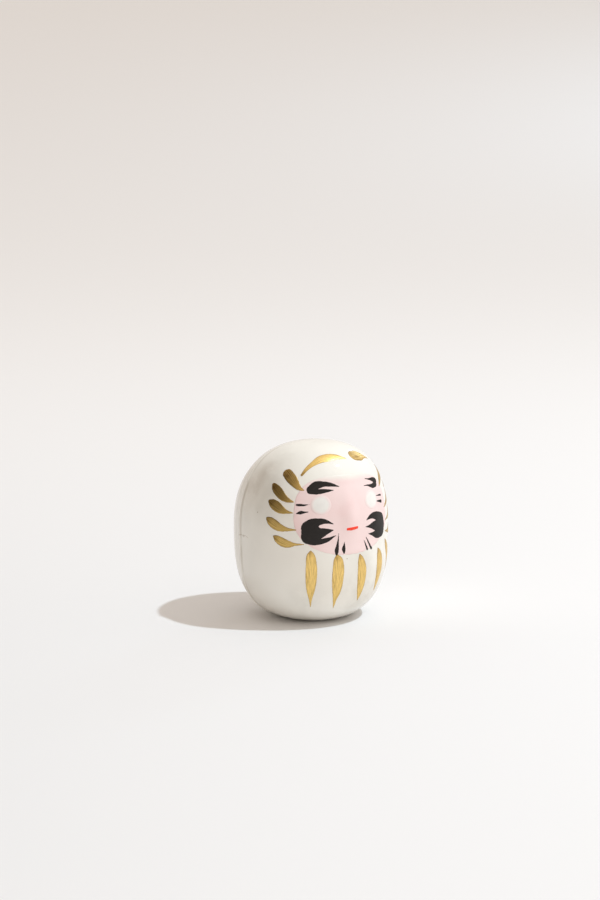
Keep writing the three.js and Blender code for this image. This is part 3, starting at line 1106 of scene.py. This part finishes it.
@dataclass
class Shell:
    """The two pulp halves, which meet at the seam and are open at the bottom."""

    form: DollForm
    thickness: float = 2.0
    hole_radius: float = 9.0
    columns: int = 150
    rows: int = 130
    seam_crowding: float = 0.4
    crisp_angle: float = 50

    def azimuths(self, half: Half) -> Array:
        """Gives the columns' directions seen from the seam, closest together near it."""
        u = np.linspace(-1, 1, self.columns + 1)
        return half.value + 90 * ((1 + self.seam_crowding) * u - self.seam_crowding * u**3)

    def grid(self, half: Half) -> Array:
        """Gives the outer surface of a half on the plain body, as rows of points from the foot up.

        Args:
            half: which half.

        Returns:
            The points, one row for each height.
        """
        turn = np.radians(self.azimuths(half))
        outward = np.stack([np.sin(turn), -np.cos(turn), np.zeros_like(turn)], axis=-1)
        form = self.form
        foot = form.cast(np.array([0, form.seam_y, form.foot_z]), outward, 2 * form.radius)
        centre = np.array([0, form.seam_y, form.waist])
        reach = np.linalg.norm((foot - centre)[:, :2], axis=-1)
        lowest = np.arctan2(form.foot_z - form.waist, reach)
        share = np.linspace(0, 1, self.rows + 1)[:, None]
        rise = lowest + (math.pi / 2 - lowest) * share
        flat, up = np.cos(rise)[..., None], np.sin(rise)[..., None]
        rays = outward * flat + np.array([0, 0, 1]) * up
        return form.cast(centre, rays, 2 * form.height)

    def hole(self, half: Half) -> Array:
        """Gives the points where the columns of a half reach the rim of the hole in the foot.

        Args:
            half: which half.

        Returns:
            One point for each column.
        """
        turn = np.radians(self.azimuths(half))
        outward = np.stack([np.sin(turn), -np.cos(turn)], axis=-1)
        start = np.array([0, self.form.seam_y])
        offset = start - [0, self.form.base_y]
        towards = outward @ offset
        reach = np.sqrt(towards**2 - offset @ offset + self.hole_radius**2) - towards
        ring = start + outward * reach[:, None]
        return np.column_stack([ring, np.full(len(ring), self.form.foot_z)])

    def build(self, name: str, half: Half) -> Piece:
        """Makes one half as a closed solid: its outside, its inside and the cut edges.

        Args:
            name: the piece's name.
            half: which half.

        Returns:
            The object, without a material.
        """
        plain = self.grid(half)
        outer = self.form.skin(plain, 0.0)
        outer[0, :, 2] = self.form.foot_z
        hole = self.hole(half)
        inner = plain - self.form.normals(plain) * self.thickness
        floor = self.form.foot_z + self.thickness
        inner[..., 2] = np.maximum(inner[..., 2], floor)
        inner_hole = hole + [0, 0, self.thickness]
        outside = np.concatenate([hole[None], outer])
        inside = np.concatenate([inner_hole[None], inner])
        layers = np.stack([outside, inside])
        rows, columns = outside.shape[:2]

        def at(layer: int, row: int, column: int) -> int:
            """Gives the number of a point; the columns of the top row meet in one."""
            return (layer * rows + row) * columns + (column if row < rows - 1 else 0)

        faces = []
        for row in range(rows - 1):
            for column in range(columns - 1):
                right, above = column + 1, row + 1
                square = [(row, column), (row, right), (above, right), (above, column)]
                outer_face = list(dict.fromkeys(at(0, *place) for place in square))
                inner_face = list(dict.fromkeys(at(1, *place) for place in reversed(square)))
                faces += [outer_face, inner_face]
            for column, order in ((0, 1), (columns - 1, -1)):
                cut = [(0, row), (0, row + 1), (1, row + 1), (1, row)]
                faces.append([at(layer, height, column) for layer, height in cut][::order])
        for column in range(columns - 1):
            rim = [(0, column + 1), (0, column), (1, column), (1, column + 1)]
            faces.append([at(layer, 0, place) for layer, place in rim])
        made = new_object(name, layers.reshape(-1, 3), faces)
        sharpen(made, self.crisp_angle)
        return made

    def place(self, lacquer: Lacquer) -> None:
        """Builds both halves and dresses them.

        Args:
            lacquer: the finish of both.
        """
        halves = []
        for node, half in (("front_shell", Half.FRONT), ("rear_shell", Half.REAR)):
            halves.append(self.build(f"{node}_lacquered", half))
            settle(halves[-1], node)
        lacquer.dress(*halves)


def sharpen(made: Piece, angle: float) -> None:
    """Drops unused corners from a mesh and keeps its edges crisp above an angle.

    Args:
        made: the object that has the mesh.
        angle: the angle, in degrees.
    """
    work = bmesh.new()
    work.from_mesh(made.data)
    bmesh.ops.delete(work, geom=[v for v in work.verts if not v.link_faces], context="VERTS")
    for edge in work.edges:
        if len(edge.link_faces) == 2 and edge.calc_face_angle() > math.radians(angle):
            edge.smooth = False
    work.to_mesh(made.data)
    work.free()


@dataclass
class Face:
    """The pink ground, the eyes and the mouth."""

    form: DollForm
    eye_azimuth: float = 26.5
    eye_z: float = 70.0
    eye_width: float = 11.4
    eye_height: float = 10.6
    eye_dome: float = 0.16
    eye_wobble: float = 0.012
    eye_lobes: int = 5
    eye_margin: float = 1
    eye_cell: float = 0.2
    ground_cell: float = 0.45
    ground_reach: tuple[float, float] = (0.8, 0.6)
    ground_wobble: float = 0.12
    ground_waves: tuple[float, float] = (0.9, 0.7)
    mouth_bristles: float = 0.02
    mouth: tuple[Dab, ...] = (dab((-3.1, 56, 1.5), (0.5, 56, 1.7), (6.5, 56.3, 1.4)),)

    def ground(self) -> Piece:
        """Makes the pink film of the face.

        Returns:
            The object, without a material.
        """
        face = self.form.face
        plane = TangentFrame.touching(self.form, 0, face.middle)
        film = Film("face_paint_film", Coat.GROUND, plane, self.ground_cell, thickness=0.03)
        reach = self.form.radius * np.array(self.ground_reach)
        grid = film.grid(-reach, reach)
        points = plane.wrap(self.form, grid)
        azimuth, z = self.form.azimuth(points), points[..., 2]
        depth = (1 - face.share(azimuth, z)) * face.half_height
        waves = np.sin(azimuth * self.ground_waves[0]) * np.sin(z * self.ground_waves[1])
        return film.build(self.form, grid, depth + self.ground_wobble * waves, grid)

    def eye(self, name: str, azimuth: float) -> Piece:
        """Makes one eye disc.

        Args:
            name: the piece's name.
            azimuth: the eye's azimuth, in degrees.

        Returns:
            The object, without a material.
        """
        plane = TangentFrame.touching(self.form, azimuth, self.eye_z)
        film = Film(name, Coat.GOLD, plane, self.eye_cell, thickness=0.05, dome=self.eye_dome)
        half = np.array([self.eye_width, self.eye_height]) / 2
        grid = film.grid(-half - self.eye_margin, half + self.eye_margin)
        bend = np.arctan2(grid[..., 1], grid[..., 0])
        share = np.linalg.norm(grid / half, axis=-1)
        share = share + self.eye_wobble * np.sin(self.eye_lobes * bend + azimuth)
        return film.build(self.form, grid, (1 - share) * half.min(), grid)

    def place(self, pink: FacePink, white: EyeWhite, red: Ink) -> None:
        """Builds the pieces and dresses them.

        Args:
            pink: the finish of the ground.
            white: the finish of the eyes.
            red: the finish of the mouth.
        """
        ground = self.ground()
        settle(ground, "face_paint")
        pink.dress(ground)
        eyes = []
        for side, sign in (("left", -1), ("right", 1)):
            eyes.append(self.eye(f"{side}_eye_white", sign * self.eye_azimuth))
            settle(eyes[-1], f"eye_{side}")
        white.dress(*eyes)
        strokes = Strokes(self.form, Coat.INK, self.mouth_bristles)
        mouth = strokes.film("mouth_stroke", self.mouth)
        settle(mouth, "mouth")
        red.dress(mouth)


@dataclass
class Strokes:
    """Makes films out of dabs that run together."""

    form: DollForm
    coat: Coat
    bristle_height: float
    cell: float = 0.24
    wobble: float = 0.06
    wobble_waves: tuple[float, float] = (2.1, 2.7)

    def film(self, name: str, dabs: tuple[Dab, ...]) -> Piece:
        """Makes the film of one motif.

        Args:
            name: the piece's name.
            dabs: the touches of the brush.

        Returns:
            The object, without a material.
        """
        middle = dabs[0].touches[len(dabs[0].touches) // 2]
        plane = TangentFrame.touching(self.form, *middle[:2])
        film = Film(name, self.coat, plane, self.cell, bristle_height=self.bristle_height)
        lines = np.concatenate([one.line(self.form, plane)[0] for one in dabs])
        margin = max(width for one in dabs for *_, width in one.touches)
        grid = film.grid(lines.min(axis=0) - margin, lines.max(axis=0) + margin)
        fields = [one.field(self.form, plane, grid) for one in dabs]
        depths = np.stack([depth for depth, _ in fields])
        best = depths.argmax(axis=0)
        hairs = np.stack([bristles for _, bristles in fields])
        bristles = np.take_along_axis(hairs, best[None, ..., None], axis=0)[0]
        x, y = grid[..., 0], grid[..., 1]
        shake = np.sin(x * self.wobble_waves[0] + y) * np.sin(y * self.wobble_waves[1] + 1)
        return film.build(self.form, grid, depths.max(axis=0) + self.wobble * shake, bristles)


@dataclass
class Brushwork:
    """The black brows, lashes, moustache and chin hairs, and the gold strokes."""

    form: DollForm
    ink_bristles: float = 0.006
    gold_bristles: float = 0.012

    def ink_motifs(self) -> Motifs:
        """Lists the black motifs by CAD node.

        Returns:
            The dabs of each motif.
        """
        return {
            "brow_left": (
                dab(
                    (-35.9, 78.1, 4), (-30.9, 80.2, 4.5), (-23.9, 80.9, 3), (-16.5, 80.5, 2.1),
                    (-8.6, 79.3, 0.3),
                ),
                dab((-35.9, 77.6, 3.6), (-30.5, 77.1, 3), (-22.8, 77.4, 2.2), (-14.3, 77.6, 0.3)),
            ),
            "brow_right": (
                dab(
                    (38.8, 79, 3.1), (35.4, 79.9, 2.6), (32.7, 80.3, 1.7), (28.5, 80.8, 0.8),
                    (23.7, 81.4, 0.3),
                ),
                dab(
                    (37.5, 77.2, 3.3), (32.9, 76.8, 2.6), (29.1, 77.2, 1.7), (25.2, 77.8, 0.8),
                    (20.4, 78, 0.3),
                ),
            ),
            "lash_upper_left": (
                dab(
                    (-46.7, 70, 1.1), (-44.1, 70, 1.3), (-40, 70, 0.8), (-38.4, 70.2, 0.4),
                    (-35.8, 70.3, 0.2),
                ),
            ),
            "lash_lower_left": (
                dab(
                    (-46.8, 65.3, 0.4), (-45.1, 65.7, 1.2), (-43.2, 66, 1.9), (-41, 66.1, 1.2),
                    (-36.9, 66.4, 0.2),
                ),
            ),
            "lash_upper_right": (dab((42.8, 70.7, 1.2), (39.4, 70.9, 0.8), (35.2, 71.1, 0.2)),),
            "lash_lower_right": (dab((41.8, 67.3, 1.9), (37.9, 67.8, 1.1), (32.2, 68.5, 0.2)),),
            "moustache_left": (
                dab(
                    (-36.8, 57.6, 8), (-33.4, 59.5, 6.6), (-30.4, 60.6, 4.6), (-23.5, 61.1, 2.6),
                    (-16, 59.5, 0.3),
                ),
                dab(
                    (-36.2, 55.5, 8.6), (-32.1, 55, 7.8), (-28.4, 54.7, 6.2), (-22.5, 55.5, 3.5),
                    (-16, 56.1, 0.3),
                ),
                dab(
                    (-36.7, 53, 8.1), (-33.1, 51, 5.4), (-29, 50.2, 3.6), (-22.5, 50.7, 2.6),
                    (-13.8, 53, 0.3),
                ),
            ),
            "moustache_right": (
                dab(
                    (36.5, 57.8, 8), (31, 60.3, 5), (24.6, 61, 3), (20.5, 60.3, 1.6),
                    (17.5, 59.4, 0.3),
                ),
                dab(
                    (36.5, 55, 8.6), (30, 55.2, 6.2), (25.2, 55.6, 3.9), (20.4, 55.6, 1.5),
                    (16, 55.7, 0.3),
                ),
                dab((35.8, 52.2, 8.2), (30.5, 50.6, 5.2), (25.2, 50.9, 2.2), (19.7, 51.6, 0.3)),
            ),
            "chin_hair_outer_left": (
                dab(
                    (-13.5, 42.6, 1.1), (-13.3, 44.6, 2.3), (-12.6, 46.9, 1.7), (-11.9, 49.6, 0.9),
                    (-11.3, 54.1, 0.2),
                ),
            ),
            "chin_hair_inner_left": (
                dab((-6.8, 43.2, 0.9), (-7, 45.2, 2.1), (-6.5, 47.2, 1.1), (-6.2, 49.1, 0.2)),
            ),
            "chin_hair_inner_right": (
                dab((17.3, 43.2, 1.1), (16.3, 44.8, 1.1), (15.3, 46.7, 0.7), (14.1, 48.6, 0.2)),
            ),
            "chin_hair_outer_right": (
                dab((22.2, 43.3, 1.4), (20.4, 45.3, 1.1), (18.5, 47.9, 0.8), (16.4, 50.2, 0.2)),
            ),
        }

    def gold_motifs(self) -> Motifs:
        """Lists the gold strokes of the forehead and the chin by CAD node.

        Returns:
            The dabs of each stroke.
        """
        chin = (
            dab(
                (-34.9, 44.8, 1), (-34.9, 42, 4.5), (-34.5, 37.6, 5.8), (-34.8, 28.1, 5.9),
                (-35.3, 22.4, 4.3), (-35.7, 17.7, 1.9), (-36.1, 12.4, 0.3),
            ),
            dab(
                (-12.7, 41.6, 2), (-11.9, 39, 5.2), (-11.5, 35.6, 6.4), (-11.7, 28.8, 6.6),
                (-11.9, 21.8, 4.9), (-12.7, 16.7, 2.2), (-12.7, 11, 0.3),
            ),
            dab(
                (9, 41, 0.8), (10.4, 38, 3.8), (12.2, 33.4, 5.9), (13, 26.8, 6), (13.5, 20.4, 4.2),
                (14.3, 14, 0.4),
            ),
            dab(
                (32.3, 41.9, 0.8), (34.8, 38.6, 4.3), (36.8, 34.9, 6.2), (37.9, 29.3, 6.5),
                (37.5, 24.5, 4.6), (37.5, 17.3, 0.5),
            ),
            dab(
                (46.8, 45.2, 0.8), (50.5, 41.8, 3.6), (57, 36.5, 5.4), (63, 30.5, 5.4),
                (67, 25, 3.4), (69, 19.5, 0.5),
            ),
        )
        motifs = {
            "forehead_stroke_left": (
                dab(
                    (-44.8, 85.4, 1.3), (-41, 88.2, 2), (-33.3, 91.1, 3.2), (-24.1, 92.9, 5),
                    (-14.9, 93.5, 5.4), (-4.6, 93.6, 4.1), (10.3, 92.3, 0.4),
                ),
            ),
            "forehead_stroke_right": (
                dab(
                    (28.5, 92.9, 7.2), (35, 92.6, 7.6), (42, 92.1, 5.2), (47.5, 91.2, 2.6),
                    (54, 89.6, 0.4),
                ),
            ),
        }
        for number, stroke in enumerate(chin, start=1):
            motifs[f"chin_stroke_{number}"] = (stroke,)
        return motifs

    def whisker_motifs(self) -> Motifs:
        """Lists the gold whiskers by CAD node.

        Returns:
            The dab of each whisker.
        """
        left_whiskers = (
            dab(
                (-59.6, 85.8, 5.5), (-53.9, 83.2, 5.7), (-49.7, 80.9, 4.3), (-45.8, 78.8, 2.5),
                (-41.4, 77.7, 0.5),
            ),
            dab(
                (-70, 79.4, 2.3), (-67.4, 78, 4.4), (-63.3, 75.9, 5.1), (-58.4, 73.4, 3.9),
                (-54.2, 72.2, 2.4), (-49.3, 71.4, 0.4),
            ),
            dab(
                (-70.3, 70.7, 2.1), (-67.7, 69.9, 4.4), (-64.2, 68.7, 5.7), (-59.7, 67, 4.3),
                (-55.4, 66.1, 2.2), (-49.6, 65.6, 0.4),
            ),
            dab(
                (-71.3, 61.6, 1.3), (-69.2, 60.7, 3.6), (-65.7, 59.2, 5.2), (-60.2, 57.3, 4.2),
                (-54.7, 56.6, 2.3), (-46.8, 56.5, 0.5),
            ),
            dab(
                (-64.7, 52.1, 1.3), (-62.4, 51.1, 3.5), (-59, 49.7, 4.8), (-53.6, 48.5, 4),
                (-48.3, 48.5, 1.8), (-40.5, 48.7, 0.4),
            ),
        )
        right_whiskers = (
            dab(
                (70, 82.6, 5), (64, 81.6, 5), (58, 80.3, 4), (52, 78.8, 3.2), (48, 77.2, 2),
                (44, 75.4, 0.5),
            ),
            dab(
                (84, 80, 2.3), (81, 79, 4.4), (77, 77.4, 5.1), (71.5, 75.4, 3.9), (66.5, 74, 2.4),
                (61, 73, 0.4),
            ),
            dab(
                (80, 72, 2.1), (76, 70.8, 4.4), (70, 69.3, 5.7), (62, 67.2, 4.3), (55, 65.4, 2.4),
                (46, 63.4, 0.4),
            ),
            dab(
                (76, 61.6, 1.3), (73, 60.8, 3.6), (69, 59.6, 5.2), (62.5, 57.9, 3.8),
                (56, 56.9, 1.8), (47, 56.1, 0.5),
            ),
            dab(
                (74, 51.5, 1.3), (71, 50.7, 3.5), (67, 49.6, 4.8), (61, 48.9, 3.8), (55, 49, 2),
                (47, 50, 0.4),
            ),
        )
        return {
            f"whisker_{side}_{number}": (whisker,)
            for side, dabs in (("left", left_whiskers), ("right", right_whiskers))
            for number, whisker in enumerate(dabs, start=1)
        }

    def place(self, black: Ink, gold: Gold, shaded_gold: Gold) -> None:
        """Builds every motif and dresses it.

        Args:
            black: the finish of the ink.
            gold: the finish of the forehead and chin strokes.
            shaded_gold: the finish of the whiskers, a darker copy of the gold that paints shade on
                them.
        """
        ink = Strokes(self.form, Coat.INK, self.ink_bristles)
        metal = Strokes(self.form, Coat.GOLD, self.gold_bristles)
        kinds = (
            (self.ink_motifs(), ink, "black_paint", black),
            (self.gold_motifs(), metal, "gold_paint", gold),
            (self.whisker_motifs(), metal, "gold_paint", shaded_gold),
        )
        for motifs, strokes, slot, finish in kinds:
            films = []
            for node, dabs in motifs.items():
                film = strokes.film(f"{node}_film", dabs)
                settle(film, node)
                films.append(film)
            finish.dress(*films)


@dataclass
class Inside:
    """What the shell holds, and the paper under it: the CAD pieces, dressed."""

    clay: RawStuff = RawStuff(
        "fired_clay", light=(0.42, 0.2, 0.11), dark=(0.3, 0.13, 0.07), scale=160, depth=0.25
    )
    band: RawStuff = RawStuff(
        "kraft_paper", light=(0.62, 0.52, 0.37), dark=(0.5, 0.4, 0.27), scale=300, depth=0.08
    )
    base: RawStuff = RawStuff(
        "base_paper", light=(0.74, 0.7, 0.6), dark=(0.64, 0.59, 0.48), scale=220, depth=0.06
    )

    def place(self) -> None:
        """Dresses the CAD pieces, which stay as they are."""
        stuffs = {"clay_weight": self.clay, "seam_band": self.band, "base_paper": self.base}
        for node, stuff in stuffs.items():
            stuff.dress(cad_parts[node])
            LOG.info("%s: dressed", node)


# ---------------------------------------------------------------------------------------------
# Studio
# ---------------------------------------------------------------------------------------------


@dataclass
class Studio:
    """A pale floor that curves up far away, two lamps, a dark card, the room and the camera."""

    form: DollForm
    camera_azimuth: float = -31
    camera_elevation: float = 12
    camera_distance: float = 1185
    lens_length: float = 85
    sensor_width: float = 36
    clip: tuple[float, float] = (0.05, 20)
    aim_above: float = 43.5
    aim_left: float = 8.8
    lamp_azimuth: float = 50
    lamp_elevation: float = 58.5
    lamp_distance: float = 2600
    lamp_size: float = 78
    lamp_power: float = 39
    lamp_colour: Colour = (0.77, 0.895, 1.0)
    wash_power: float = 17
    wash_colour: Colour = (0.58, 0.8, 1.0)
    wash_size: float = 1200
    wash_place: tuple[float, float, float] = (3600, 1900, 1900)
    wash_target: tuple[float, float, float] = (3900, 900, 0)
    room_strength: float = 0.83
    room_colour: Colour = (1.0, 0.9, 0.81)
    card_azimuth: float = -93
    card_distance: float = 750
    card_width: float = 900
    card_span: tuple[float, float] = (45, 1300)
    card_look: Plain = Plain("dark_card", (0.06, 0.042, 0.028), roughness=0.9, specular=0.1)
    floor_look: Plain = Plain("pale_floor", (0.835, 0.83, 0.83), roughness=0.85, specular=0.2)
    inner_radius: float = 300
    flat_radius: float = 1200
    rim_radius: float = 6400
    rim_height: float = 760
    sweep_power: float = 2.2
    floor_rings: int = 40
    floor_spokes: int = 96

    def middle(self) -> Vector:
        """Gives the point half way up the doll's axis."""
        return Vector((0, self.form.axis_y, self.form.height / 2)) * MM

    def towards(self, azimuth: float, elevation: float) -> Vector:
        """Gives the unit vector towards an azimuth and an elevation."""
        a, e = math.radians(azimuth), math.radians(elevation)
        return Vector((math.sin(a) * math.cos(e), -math.cos(a) * math.cos(e), math.sin(e)))

    def floor(self) -> None:
        """Makes the floor, which rises very gently all round, so that no edge shows."""
        share = np.linspace(0, 1, self.floor_rings)
        radii = self.flat_radius + (self.rim_radius - self.flat_radius) * share
        radii = np.concatenate([[self.inner_radius], radii])
        heights = np.concatenate([[0], self.rim_height * share**self.sweep_power])
        count = self.floor_spokes
        around = np.linspace(0, 2 * math.pi, count, endpoint=False)
        points = [
            (radius * math.cos(a), radius * math.sin(a), height)
            for radius, height in zip(radii, heights)
            for a in around
        ]
        faces = [list(range(count))]
        for start in range(0, (len(radii) - 1) * count, count):
            for i in range(count):
                here, there = start + i, start + (i + 1) % count
                faces.append([here, here + count, there + count, there])
        bowl = new_object("studio_floor", np.array(points), faces)
        self.floor_look.dress(bowl)

    def lamp(
        self, name: str, place: Vector, target: Vector, size: float, power: float, colour: Colour
    ) -> None:
        """Hangs a round lamp that the camera doesn't see.

        Args:
            name: the lamp's name.
            place: where it hangs, in metres.
            target: the point it shines at, in metres.
            size: its width in millimetres.
            power: its power in watts.
            colour: the colour of its light.
        """
        light = bpy.data.lights.new(name, "AREA")
        light.shape = "DISK"
        light.size = size * MM
        light.energy = power
        light.color = colour
        holder = bpy.data.objects.new(name, light)
        holder.location = place
        holder.rotation_euler = (place - target).to_track_quat("Z", "Y").to_euler()
        holder.visible_camera = False
        bpy.context.scene.collection.objects.link(holder)

    def behind(self, away: float, right: float, up: float) -> Vector:
        """Gives a point by how far behind the doll, right of it and up it is for the camera."""
        back = -self.towards(self.camera_azimuth, 0)
        return (back * away + Vector((back.y, -back.x, 0)) * right + Vector((0, 0, up))) * MM

    def lamps(self) -> None:
        """Hangs a small lamp, for a crisp shadow, and a large one that shines on the background."""
        out = self.towards(self.lamp_azimuth, self.lamp_elevation)
        key = self.middle() + out * self.lamp_distance * MM
        self.lamp("key_lamp", key, self.middle(), self.lamp_size, self.lamp_power, self.lamp_colour)
        wash, target = self.behind(*self.wash_place), self.behind(*self.wash_target)
        self.lamp("wash_lamp", wash, target, self.wash_size, self.wash_power, self.wash_colour)

    def card(self) -> None:
        """Stands a dark card beside the doll, out of the camera's sight, to model its left side."""
        out = self.towards(self.card_azimuth, 0)
        side = Vector((-out.y, out.x, 0)) * self.card_width / 2
        low, high = self.card_span
        foot = out * self.card_distance
        ends = [foot - side, foot + side, foot + side, foot - side]
        points = [(end.x, end.y, z) for end, z in zip(ends, (low, low, high, high))]
        board = new_object("studio_card", np.array(points), [[0, 1, 2, 3]])
        self.card_look.dress(board)
        board.visible_camera = False
        board.visible_shadow = False

    def room(self) -> None:
        """Lights the room evenly all round."""
        world = bpy.data.worlds.new("room")
        world.use_nodes = True
        background = world.node_tree.nodes["Background"]
        background.inputs["Color"].default_value = (*self.room_colour, 1)
        background.inputs["Strength"].default_value = self.room_strength
        bpy.context.scene.world = world

    def camera(self) -> None:
        """Sets the camera up in front of the doll, on its left."""
        lens = bpy.data.cameras.new("camera")
        lens.lens = self.lens_length
        lens.sensor_width = self.sensor_width
        lens.sensor_fit = "AUTO"
        lens.clip_start, lens.clip_end = self.clip
        holder = bpy.data.objects.new("camera", lens)
        out = self.towards(self.camera_azimuth, self.camera_elevation)
        right = Vector((-out.y, out.x, 0)).normalized()
        target = self.middle() + (out.cross(right) * self.aim_above - right * self.aim_left) * MM
        holder.location = self.middle() + out * self.camera_distance * MM
        holder.rotation_euler = (holder.location - target).to_track_quat("Z", "Y").to_euler()
        bpy.context.scene.collection.objects.link(holder)
        bpy.context.scene.camera = holder

    def set_up(self) -> None:
        """Builds the whole studio."""
        self.camera()
        self.floor()
        self.card()
        self.lamps()
        self.room()
        view = bpy.context.scene.view_settings
        view.view_transform = "Standard"
        LOG.info("studio: set up")


def read_form() -> DollForm:
    """Takes the doll's height, axis and seam from the frame.

    Returns:
        The doll's surface.
    """
    front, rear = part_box("front_shell"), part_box("rear_shell")
    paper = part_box("base_paper")
    seam = (front[1].y + rear[0].y) / 2 / MM
    back_reach = DollForm.radius * (1 + DollForm.back_share)
    return DollForm(
        height=rear[1].z / MM,
        axis_y=rear[1].y / MM - back_reach,
        seam_y=seam,
        base_y=(paper[0].y + paper[1].y) / 2 / MM,
        foot_z=paper[1].z / MM + FOOT_GAP,
    )


def main() -> None:
    """Builds the doll and the studio round it."""
    logging.basicConfig(level=logging.INFO, format="%(name)s: %(message)s")
    form = read_form()
    lacquer = Lacquer(form)
    Studio(form).set_up()
    Shell(form).place(lacquer)
    red = Ink("red_paint", full=(0.95, 0.045, 0.02), dry=(0.9, 0.1, 0.05))
    Face(form).place(FacePink(lacquer), EyeWhite(), red)
    black = Ink("black_paint", full=(0.008, 0.006, 0.005), dry=(0.018, 0.014, 0.012))
    gold = Gold("gold_paint", bright=(0.93, 0.665, 0.24), dull=(0.36, 0.21, 0.06))
    # a darker copy of the gold, for the whiskers: painted shade, standing in for the dark
    # reflections on the doll's flanks
    shaded_gold = Gold("shaded_gold_paint", bright=(0.72, 0.5, 0.17), dull=(0.22, 0.12, 0.035))
    Brushwork(form).place(black, gold, shaded_gold)
    Inside().place()


if __name__ == "__main__":
    main()
